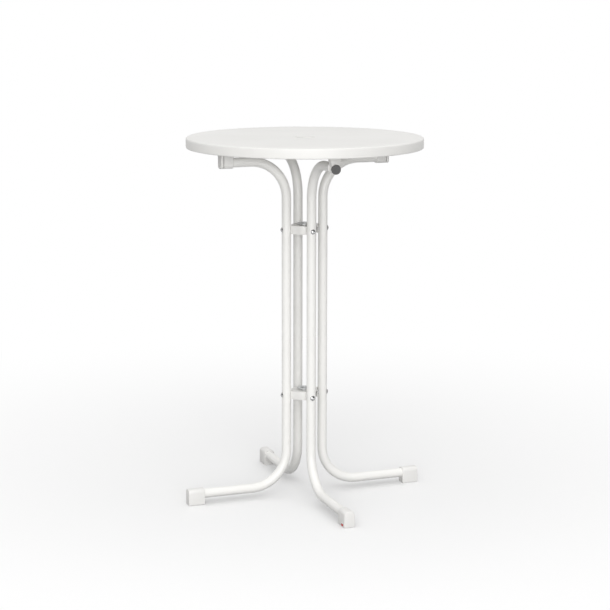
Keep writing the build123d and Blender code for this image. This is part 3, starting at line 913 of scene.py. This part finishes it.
def bolt(leg, level):
    """One bolt with its domed head outside the tube."""
    place = facing_out(LEGS[leg], 0.0, level)
    bolt_start = nut_start - BOLT_BEYOND
    head_base = tube_outer + HEAD_EDGE
    outline = [
        (0.0, bolt_start),
        (BOLT_RADIUS - BOLT_BEYOND / 3, bolt_start),
        (BOLT_RADIUS, nut_start - BOLT_BEYOND / 2),
        (BOLT_RADIUS, tube_outer),
        (HEAD_RADIUS, tube_outer),
    ] + dome(HEAD_RADIUS, HEAD_DOME, head_base, HEAD_DOME_STEPS)
    made = turned("bolt", outline, place, steps=PLAIN_ROUND_STEPS, closed=False)
    crown = head_base + HEAD_DOME
    hexagon = circle(SOCKET_RADIUS, steps=6)
    socket = pushed("socket", hexagon, crown - SOCKET_DEPTH, SOCKET_DEPTH + OVERRUN, place)
    return combine(made, [socket], "DIFFERENCE")


# %% [markdown]
# ## Nuts and saddle spacers
# A nut is a hexagon whose corners are cut back by a cone, so it is the part that a hexagon and a turned
# barrel have in common. A spacer fills the room between tab and tube: flat on one end, hollowed to the
# tube's round on the other.

# %% Nuts and spacers
NUT_FLATS = 0.010
SPACER_RADIUS = 0.007
SPACER_BITE = 0.002


def nut(leg, level):
    """One nut: a hexagon cut back by a cone at both ends."""
    place = facing_out(LEGS[leg], nut_start, level)
    flat = NUT_FLATS / 2
    corner = flat / math.cos(math.radians(30))
    chamfer = corner - flat
    made = pushed("nut", circle(corner, steps=6), 0.0, NUT_THICKNESS, place)
    barrel_outline = [
        (0.0, 0.0),
        (flat, 0.0),
        (corner, chamfer),
        (corner, NUT_THICKNESS - chamfer),
        (flat, NUT_THICKNESS),
        (0.0, NUT_THICKNESS),
    ]
    barrel = turned("barrel", barrel_outline, place, steps=PLAIN_ROUND_STEPS, closed=False)
    combine(made, [barrel], "INTERSECT")
    bore = pushed("bore", circle(BOLT_RADIUS + FIT_GAP), -OVERRUN, NUT_THICKNESS + 2 * OVERRUN, place)
    return combine(made, [bore], "DIFFERENCE")


def spacer(leg, level):
    """One spacer: flat against the tab, hollowed to the tube's round."""
    place = facing_out(LEGS[leg], TAB_FACE, level)
    length = tube_inner + SPACER_BITE - TAB_FACE
    made = pushed("spacer", circle(SPACER_RADIUS), 0.0, length, place)
    tube_circle = circle(TUBE_RADIUS + FIT_GAP, COLUMN_RADIUS, 0.0, BIG_ROUND_STEPS)
    tube_cut = pushed(
        "tube cut", tube_circle, -2 * CONNECTOR_HALF, 4 * CONNECTOR_HALF, lying(LEGS[leg], level))
    bore = pushed("bore", circle(BOLT_RADIUS + FIT_GAP), -OVERRUN, length + 2 * OVERRUN, place)
    return combine(made, [tube_cut, bore], "DIFFERENCE")


# %% [markdown]
# ## Fasteners by the set
# Four bolts, four nuts and four spacers belong to each pair of legs. Each set is one object, because it
# moves as one and the CAD holds it as one node. Joining meshes in bmesh keeps their places, as they are
# made in place.


# %% Sets of bolts, nuts and spacers
def join(name, pieces):
    """Joins separate solids into one object."""
    shape = bmesh.new()
    for piece in pieces:
        shape.from_mesh(piece.data)
        bpy.data.objects.remove(piece)
    return mesh_object(name, shape)


for pair_name, pair in (("fixed", FIXED_PAIR), ("swing", SWING_PAIR)):
    places = [(leg, level) for leg in pair for level in CONNECTOR_LEVELS.values()]
    for kind, make in (("bolts", bolt), ("nuts", nut), ("spacers", spacer)):
        group = join(f"{kind}_{pair_name}", [make(leg, level) for leg, level in places])
        soften(group)
        stand_for(group, f"leg_{kind}_{pair_name}")

# %% [markdown]
# ## Flanges under the top
# Every holder starts as a flange that is screwed to the underside of the plate with two screws. The screws'
# places are worked out once, for the holes and for the screws themselves.

# %% Flanges
HOLDER_FLANGE = 0.004
HOLDER_HALF = 0.030
HOLDER_CORNER = 0.005
HOLDER_EDGE = 0.0008
SADDLE_LENGTH = 0.0235
SCREW_RADIUS = 0.002
SCREW_EDGE = 0.007
flange_low = plate_underside - HOLDER_FLANGE


def screw_places(leg):
    """Out-and-sideways places of a holder's two screws."""
    x = ARM_REACH[leg] - (SADDLE_LENGTH if leg == "front" else ARM_CAP_LENGTH) / 2
    return [(x, side * (HOLDER_HALF - SCREW_EDGE)) for side in (-1, 1)]


def flange(leg, inner, outer):
    """The flange of a holder under the top, before its screw holes."""
    outline = rectangle(inner, outer, -HOLDER_HALF, HOLDER_HALF, HOLDER_CORNER)
    return pushed(f"holder_{leg}", outline, flange_low, HOLDER_FLANGE, lying(LEGS[leg], 0.0))


def screw_holes(leg):
    """The two holes through a holder's flange."""
    holes = [circle(SCREW_RADIUS + FIT_GAP, x, y) for x, y in screw_places(leg)]
    return [
        pushed("screw hole", hole, flange_low - OVERRUN, HOLDER_FLANGE + 2 * OVERRUN, lying(LEGS[leg], 0.0))
        for hole in holes]


# %% [markdown]
# ## Holders with a lug
# Three arms lie under a moulded holder each: the flange, a block that bears on the cap, and a lug over the
# arm's end with the cap's own outline. A narrow dark line stays between cap and lug, as it does on the real
# table. The back holder also has a tongue in the cap's hollow, so the top can't turn.

# %% Holders with a lug
LUG_GAP = 0.0025
LUG_THICKNESS = 0.007
SWING_GAP = 0.0003
TONGUE_DEPTH = 0.008
TONGUE_GAP = 0.0006


def holder(leg):
    """The holder over the back arm or a side arm."""
    angle = LEGS[leg]
    is_fixed = leg in FIXED_PAIR
    half = CAP_WIDTH / 2
    inner = ARM_REACH[leg] - ARM_CAP_LENGTH
    lug_start = ARM_REACH[leg] + LUG_GAP
    outer = lug_start + LUG_THICKNESS
    seat = ARM_CAP_TOP if is_fixed else ARM_CAP_TOP + SWING_GAP
    place = lying(angle, 0.0)
    body = flange(leg, inner, outer)
    block = rectangle(inner, outer - HOLDER_EDGE, -half, half)
    added = [pushed("block", block, seat, flange_low - seat + HOLDER_EDGE, place)]
    lug_top = flange_low - ARM_HEIGHT + HOLDER_EDGE
    lug = rounded([
        (-half, lug_top),
        (half, lug_top),
        (half, -CAP_ROUND_SIDE, CAP_TOP_CORNER),
        (-half, -CAP_ROUND_SIDE, CAP_TOP_CORNER),
    ])
    added.append(pushed("lug", lug, 0.0, LUG_THICKNESS, facing_out(angle, lug_start, ARM_HEIGHT)))
    if is_fixed:
        x0 = inner + CAP_END_WALL + TONGUE_GAP
        x1 = ARM_REACH[leg] - CAP_END_WALL - TONGUE_GAP
        side = half - CAP_WALL - TONGUE_GAP
        tongue = rectangle(x0, x1, -side, side)
        added.append(pushed("tongue", tongue, seat - TONGUE_DEPTH, TONGUE_DEPTH + HOLDER_EDGE, place))
    combine(body, added, "UNION")
    combine(body, screw_holes(leg), "DIFFERENCE")
    return soften(body, HOLDER_EDGE)


# %% [markdown]
# ## The front holder
# It is another moulding: a rib over the tube, and a block that tapers down like a keystone to the lock
# knob, slotted from below for the knob's spindle. The block's side is given as corners of (half width,
# height above the knob, round) from the top down, and mirrored.

# %% Front holder
KNOB_GAP = 0.0003
BLOCK_DEPTH = 0.018
BLOCK_TOP_HALF = 0.017
BLOCK_SHOULDER = (0.0158, 0.024, 0.010)
BLOCK_NECK = (0.009, 0.004, 0.006)
BLOCK_BOTTOM = (0.009, -0.007, 0.003)
SADDLE_HALF = 0.006
SADDLE_GAP = 0.0003
SLOT_STEPS = 16


def front_holder():
    """The front holder: flange, rib over the tube, and the tapering block with its slot."""
    inner = ARM_REACH["front"] - SADDLE_LENGTH
    block_start = ARM_REACH["front"] + KNOB_GAP
    block_place = facing_out(LEGS["front"], block_start, knob_height)
    body = flange("front", inner, block_start + BLOCK_DEPTH)
    rib_low = ARM_HEIGHT + TUBE_RADIUS + SADDLE_GAP
    rib_end = ARM_REACH["front"] - FRONT_CAP_LENGTH - SADDLE_GAP
    rib = rectangle(inner, rib_end, -SADDLE_HALF, SADDLE_HALF)
    block_top = flange_low - knob_height + HOLDER_EDGE
    side = [(BLOCK_TOP_HALF, block_top), BLOCK_SHOULDER, BLOCK_NECK, BLOCK_BOTTOM]
    block = rounded(side + [(-c[0],) + tuple(c[1:]) for c in reversed(side)])
    combine(body, [
        pushed("rib", rib, rib_low, flange_low - rib_low + HOLDER_EDGE, lying(LEGS["front"], 0.0)),
        pushed("block", block, 0.0, BLOCK_DEPTH, block_place),
    ], "UNION")
    slot = SPINDLE_RADIUS + SPINDLE_GAP
    arch = [math.pi * k / SLOT_STEPS for k in range(SLOT_STEPS + 1)]
    slot_outline = [Vector((slot * math.cos(a), slot * math.sin(a))) for a in arch]
    slot_outline += [Vector((-slot, -HOLDER_HALF)), Vector((slot, -HOLDER_HALF))]
    passage = pushed("slot", slot_outline, -OVERRUN / 2, BLOCK_DEPTH + OVERRUN, block_place)
    combine(body, screw_holes("front") + [passage], "DIFFERENCE")
    return soften(body, HOLDER_EDGE)


for leg in LEGS:
    stand_for(front_holder() if leg == "front" else holder(leg), f"top_holder_{leg}")

# %% [markdown]
# ## Screws of the holders
# Eight pan-head screws, seen only from below. Each is turned in one piece, head first, and a cross recess
# is cut into its head with two bars.

# %% Screws
SCREW_HEAD_RADIUS = 0.004
SCREW_HEAD = 0.0025
SCREW_BITE = 0.012
HEAD_FACE_SHARE = 0.6
HEAD_ROUND_SHARE = 0.9
HEAD_ROUND_RISE = 0.92
HEAD_WALL_SHARE = 0.4
CROSS_DEPTH_SHARE = 0.5
SCREW_STEPS = 32
head_low = -HOLDER_FLANGE - SCREW_HEAD
screw_outline = [
    (0.0, head_low),
    (SCREW_HEAD_RADIUS * HEAD_FACE_SHARE, head_low),
    (SCREW_HEAD_RADIUS * HEAD_ROUND_SHARE, head_low * HEAD_ROUND_RISE),
    (SCREW_HEAD_RADIUS, -HOLDER_FLANGE - SCREW_HEAD * HEAD_WALL_SHARE),
    (SCREW_HEAD_RADIUS, -HOLDER_FLANGE),
    (SCREW_RADIUS, -HOLDER_FLANGE),
    (SCREW_RADIUS, SCREW_BITE - SCREW_RADIUS),
    (0.0, SCREW_BITE),
]
cross_bars = [
    rectangle(-half_length, half_length, -half_width, half_width)
    for half_length, half_width in ((SCREW_RADIUS, SCREW_RADIUS / 4), (SCREW_RADIUS / 4, SCREW_RADIUS))]
cross_depth = OVERRUN + SCREW_HEAD * CROSS_DEPTH_SHARE
screw_pieces = []
for leg, angle in LEGS.items():
    for x, y in screw_places(leg):
        place = lying(angle, plate_underside) @ Matrix.Translation((x, y, 0.0))
        screw = turned("screw", screw_outline, place, steps=SCREW_STEPS, closed=False)
        cross = [pushed("cross", bar, head_low - OVERRUN, cross_depth, place) for bar in cross_bars]
        screw_pieces.append(combine(screw, cross, "DIFFERENCE"))
screws = soften(join("cross_head_screws", screw_pieces))
stand_for(screws, "holder_screws")

# %% [markdown]
# ## The lock knob
# A flat grey nylon knob on a steel spindle, in front of the tapering block. It is turned like a coin, with
# a round edge and a slight dish in the face, so its rim shades off against the flat middle.

# %% Knob
KNOB_RADIUS = 0.014
KNOB_THICKNESS = 0.006
KNOB_ROUND = 0.0018
KNOB_DISH = 0.0004
KNOB_DISH_SHARE = 0.72
SPINDLE_IN_KNOB = 0.0035
knob_start = ARM_REACH["front"] + 2 * KNOB_GAP + BLOCK_DEPTH
knob_bore = SPINDLE_RADIUS + FIT_GAP
knob_side = rounded([
    (knob_bore, SPINDLE_IN_KNOB),
    (knob_bore, 0.0),
    (KNOB_RADIUS, 0.0, KNOB_ROUND / 2),
    (KNOB_RADIUS, KNOB_THICKNESS, KNOB_ROUND),
    (KNOB_RADIUS * KNOB_DISH_SHARE, KNOB_THICKNESS - KNOB_DISH),
], closed=False)
knob_section = [(0.0, SPINDLE_IN_KNOB)] + [tuple(p) for p in knob_side] + [(0.0, KNOB_THICKNESS - KNOB_DISH)]
knob = turned("lock_disc", knob_section, facing_out(LEGS["front"], knob_start, knob_height), closed=False)
soften(knob)
stand_for(knob, "lock_knob")

# %% [markdown]
# ## The thumb wheel of the level adjuster
# A red wheel looks out of the window in the front foot's cap. Its edge is notched for the thumb: the
# outline is a circle whose radius dips in a half sine at each notch, so the notches are true shape and not
# a bump.

# %% Thumb wheel
WHEEL_NOTCHES = 36
NOTCH_DEPTH = 0.0008
NOTCH_SHARE = 0.45
POINTS_PER_NOTCH = 8
wheel_points = WHEEL_NOTCHES * POINTS_PER_NOTCH
wheel_outline = []
for k in range(wheel_points):
    turn = 2 * math.pi * k / wheel_points
    phase = (k % POINTS_PER_NOTCH) / POINTS_PER_NOTCH
    dip = NOTCH_DEPTH * math.sin(math.pi * phase / NOTCH_SHARE) if phase < NOTCH_SHARE else 0.0
    reach = WHEEL_RADIUS - dip
    wheel_outline.append((wheel_centre + reach * math.cos(turn), reach * math.sin(turn)))
foot_place = lying(LEGS["front"], 0.0)
wheel = pushed("thumb_wheel", wheel_outline, WHEEL_HEIGHT, WHEEL_THICKNESS, foot_place)
stud_circle = circle(STUD_RADIUS + FIT_GAP, wheel_centre, 0.0)
combine(wheel, [pushed("bore", stud_circle, 0.0, FOOT_HEIGHT, foot_place)], "DIFFERENCE")
soften(wheel)
stand_for(wheel, "level_wheel")

# %% [markdown]
# ## The pad
# The wheel's stud pushes a small rubber pad to the floor. It is a plain disc with rounded edges, turned
# about the wheel's own axis.

# %% Pad
PAD_RADIUS = 0.011
PAD_THICKNESS = 0.0025
PAD_ROUND = 0.0006
PAD_STEPS = 64
pad_side = rounded([
    (PAD_RADIUS / 2, 0.0),
    (PAD_RADIUS, 0.0, PAD_ROUND),
    (PAD_RADIUS, PAD_THICKNESS, PAD_ROUND),
    (PAD_RADIUS / 2, PAD_THICKNESS),
], closed=False)
pad_section = [(0.0, 0.0)] + [tuple(p) for p in pad_side] + [(0.0, PAD_THICKNESS)]
pad_place = foot_place @ Matrix.Translation((wheel_centre, 0.0, 0.0))
pad = turned("floor_pad", pad_section, pad_place, steps=PAD_STEPS, closed=False)
soften(pad)
stand_for(pad, "level_pad")

# %% [markdown]
# ## The floor
# The photograph is a packshot: a white floor that runs into white, with only a soft pool of shadow round
# the feet. The floor is matt and nearly white to the camera, and grows to pure white with distance from the
# table, so that no horizon shows. It keeps the shadow, because the matt part of its shader still answers to
# the light. The light that it throws back up is that of a pale grey studio floor, so the undersides of the
# table stay darker than its top.

# %% Floor
FLOOR_HALF = 30.0
FLOOR_WHITE = "#FAFAFA"
FLOOR_GREY = "#989898"
FADE_START = 0.55
FADE_END = 2.3


def seen_ray(material):
    """One for the rays that show a surface: camera, glossy and transmission rays."""
    rays = add_node(material, "ShaderNodeLightPath")
    camera_or_glossy = add_node(
        material, "ShaderNodeMath", {"operation": "MAXIMUM"},
        {0: rays.outputs["Is Camera Ray"], 1: rays.outputs["Is Glossy Ray"]})
    seen = add_node(
        material, "ShaderNodeMath", {"operation": "MAXIMUM"},
        {0: camera_or_glossy.outputs["Value"], 1: rays.outputs["Is Transmission Ray"]})
    return seen.outputs["Value"]


floor_material, floor_output = new_material("studio_floor")
floor_seen = seen_ray(floor_material)
floor_place = add_node(floor_material, "ShaderNodeTexCoord").outputs["Object"]
floor_distance = add_node(
    floor_material, "ShaderNodeVectorMath", {"operation": "LENGTH"}, {0: floor_place})
floor_fade = add_node(
    floor_material, "ShaderNodeMapRange", {"interpolation_type": "SMOOTHSTEP"},
    {"Value": floor_distance.outputs["Value"], "From Min": FADE_START, "From Max": FADE_END})
floor_tone = add_node(
    floor_material, "ShaderNodeMix", {"data_type": "RGBA"},
    {"Factor": floor_seen, "A": linear(FLOOR_GREY), "B": linear(FLOOR_WHITE)})
floor_diffuse = add_node(
    floor_material, "ShaderNodeBsdfDiffuse", {}, {"Color": floor_tone.outputs["Result"]})
floor_white_share = add_node(
    floor_material, "ShaderNodeMath", {"operation": "MULTIPLY"},
    {0: floor_fade.outputs["Result"], 1: floor_seen})
floor_glow = add_node(
    floor_material, "ShaderNodeEmission", {}, {"Color": (1, 1, 1, 1), "Strength": 1.0})
floor_mix = add_node(
    floor_material, "ShaderNodeMixShader", {},
    {0: floor_white_share.outputs["Value"], 1: floor_diffuse.outputs["BSDF"],
     2: floor_glow.outputs["Emission"]})
floor_material.node_tree.links.new(floor_mix.outputs["Shader"], floor_output.inputs["Surface"])

floor_shape = bmesh.new()
floor_corners = [(-1, -1), (1, -1), (1, 1), (-1, 1)]
floor_shape.faces.new([
    floor_shape.verts.new((x * FLOOR_HALF, y * FLOOR_HALF, 0.0)) for x, y in floor_corners])
floor = mesh_object("studio_floor", floor_shape)
floor.data.materials.append(floor_material)
print("floor", 2 * FLOOR_HALF, "m wide, white from", FADE_END, "m out")

# %% [markdown]
# ## The room around it
# The world plays three parts. To the camera it is a plain white backdrop. To the table it is a room with a
# white ceiling and darker walls, which shades every tube from its lit front to its sides. To a mirror it is
# white behind the table and dark on the camera's side, so the chromed bolts get the dark ring that a real
# one shows.

# %% World
HORIZON_LEVEL = 0.12
ZENITH_LEVEL = 1.20
BACKDROP_DIRECTION = (0.35, 0.937, 0.0)
BACKDROP_SOFTNESS = 0.3
DARK_ROOM_LEVEL = 0.15
world = bpy.data.worlds.new("white_room")
bpy.context.scene.world = world
world.use_nodes = True
world.node_tree.nodes.clear()
world_output = world.node_tree.nodes.new("ShaderNodeOutputWorld")
world_direction = add_node(world, "ShaderNodeTexCoord").outputs["Generated"]
world_up = add_node(world, "ShaderNodeSeparateXYZ", {}, {0: world_direction}).outputs["Z"]
world_level = add_node(
    world, "ShaderNodeMapRange", {},
    {"Value": world_up, "To Min": HORIZON_LEVEL, "To Max": ZENITH_LEVEL})
room_light = add_node(
    world, "ShaderNodeBackground", {},
    {"Color": (1, 1, 1, 1), "Strength": world_level.outputs["Result"]})
backdrop_side = add_node(
    world, "ShaderNodeVectorMath", {"operation": "DOT_PRODUCT"},
    {0: world_direction, 1: BACKDROP_DIRECTION}).outputs["Value"]
mirrored_level = add_node(
    world, "ShaderNodeMapRange", {"interpolation_type": "SMOOTHSTEP"},
    {"Value": backdrop_side, "From Min": -BACKDROP_SOFTNESS, "From Max": BACKDROP_SOFTNESS,
     "To Min": DARK_ROOM_LEVEL})
is_camera = add_node(world, "ShaderNodeLightPath").outputs["Is Camera Ray"]
seen_level = add_node(
    world, "ShaderNodeMath", {"operation": "MAXIMUM"},
    {0: mirrored_level.outputs["Result"], 1: is_camera})
room_seen = add_node(
    world, "ShaderNodeBackground", {},
    {"Color": (1, 1, 1, 1), "Strength": seen_level.outputs["Value"]})
world_mix = add_node(
    world, "ShaderNodeMixShader", {},
    {0: seen_ray(world), 1: room_light.outputs["Background"], 2: room_seen.outputs["Background"]})
world.node_tree.links.new(world_mix.outputs["Shader"], world_output.inputs["Surface"])
print("room light from", HORIZON_LEVEL, "at the horizon to", ZENITH_LEVEL, "overhead")

# %% [markdown]
# ## Two softboxes
# Both stand on the camera's side, nine metres away. The wide low one lights the fronts of the tubes evenly
# from foot to top; the weaker high one lights the tabletop and lays the soft pool of shadow on the floor.

# %% Lamps
LAMP_DISTANCE = 9.0
LAMP_AZIMUTH = -20.5
LAMP_TARGET = Vector((0, 0, 0.8))


def softbox(name, rise, width, height, power):
    """A rectangular area lamp at an angle of rise, aimed at the table."""
    lamp = bpy.data.lights.new(name, "AREA")
    lamp.shape = "RECTANGLE"
    lamp.size = width
    lamp.size_y = height
    lamp.energy = power
    azimuth_turn = Matrix.Rotation(math.radians(LAMP_AZIMUTH), 3, "Z")
    turn = azimuth_turn @ Matrix.Rotation(math.radians(-rise), 3, "X")
    place = LAMP_TARGET + turn @ Vector((0, -LAMP_DISTANCE, 0))
    stand = bpy.data.objects.new(name, lamp)
    stand.location = place
    stand.rotation_euler = (LAMP_TARGET - place).to_track_quat("-Z", "Y").to_euler()
    bpy.context.collection.objects.link(stand)
    print(name, power, "W at", [round(v, 2) for v in place])


softbox("front_softbox", 6.0, 7.5, 3.0, 462.0)
softbox("high_softbox", 42.0, 6.0, 5.0, 110.0)

# %% [markdown]
# ## Camera
# The camera was worked out from the photograph: a long lens, five metres away, about half a metre above the
# top and turned 20.5 degrees to the left of the front leg, so that the four columns fan out evenly. Its
# focal length was found in pixels of the picture, and the sensor's width turns it into millimetres.

# %% Camera
CAMERA_DISTANCE = 5.1272
CAMERA_HEIGHT = 1.5661
CAMERA_AZIMUTH = -20.50
CAMERA_TURN = -0.015
CAMERA_PITCH = 10.852
CAMERA_ROLL = 0.097
FOCAL_PIXELS = 1742.45
IMAGE_PIXELS = 610
SENSOR_WIDTH = 36.0
FAR_CLIP = 200.0
lens = bpy.data.cameras.new("studio_camera")
lens.sensor_width = SENSOR_WIDTH
lens.lens = FOCAL_PIXELS / IMAGE_PIXELS * SENSOR_WIDTH
lens.clip_end = FAR_CLIP
camera = bpy.data.objects.new("studio_camera", lens)
azimuth = math.radians(CAMERA_AZIMUTH)
camera_place = (CAMERA_DISTANCE * math.sin(azimuth), -CAMERA_DISTANCE * math.cos(azimuth), CAMERA_HEIGHT)
camera.matrix_world = (
    Matrix.Translation(camera_place)
    @ Matrix.Rotation(math.radians(CAMERA_AZIMUTH + CAMERA_TURN), 4, "Z")
    @ Matrix.Rotation(math.radians(90 - CAMERA_PITCH), 4, "X")
    @ Matrix.Rotation(math.radians(CAMERA_ROLL), 4, "Z"))
bpy.context.collection.objects.link(camera)
bpy.context.scene.camera = camera
bpy.context.scene.view_settings.view_transform = "Standard"
print("lens", round(lens.lens, 2), "mm")
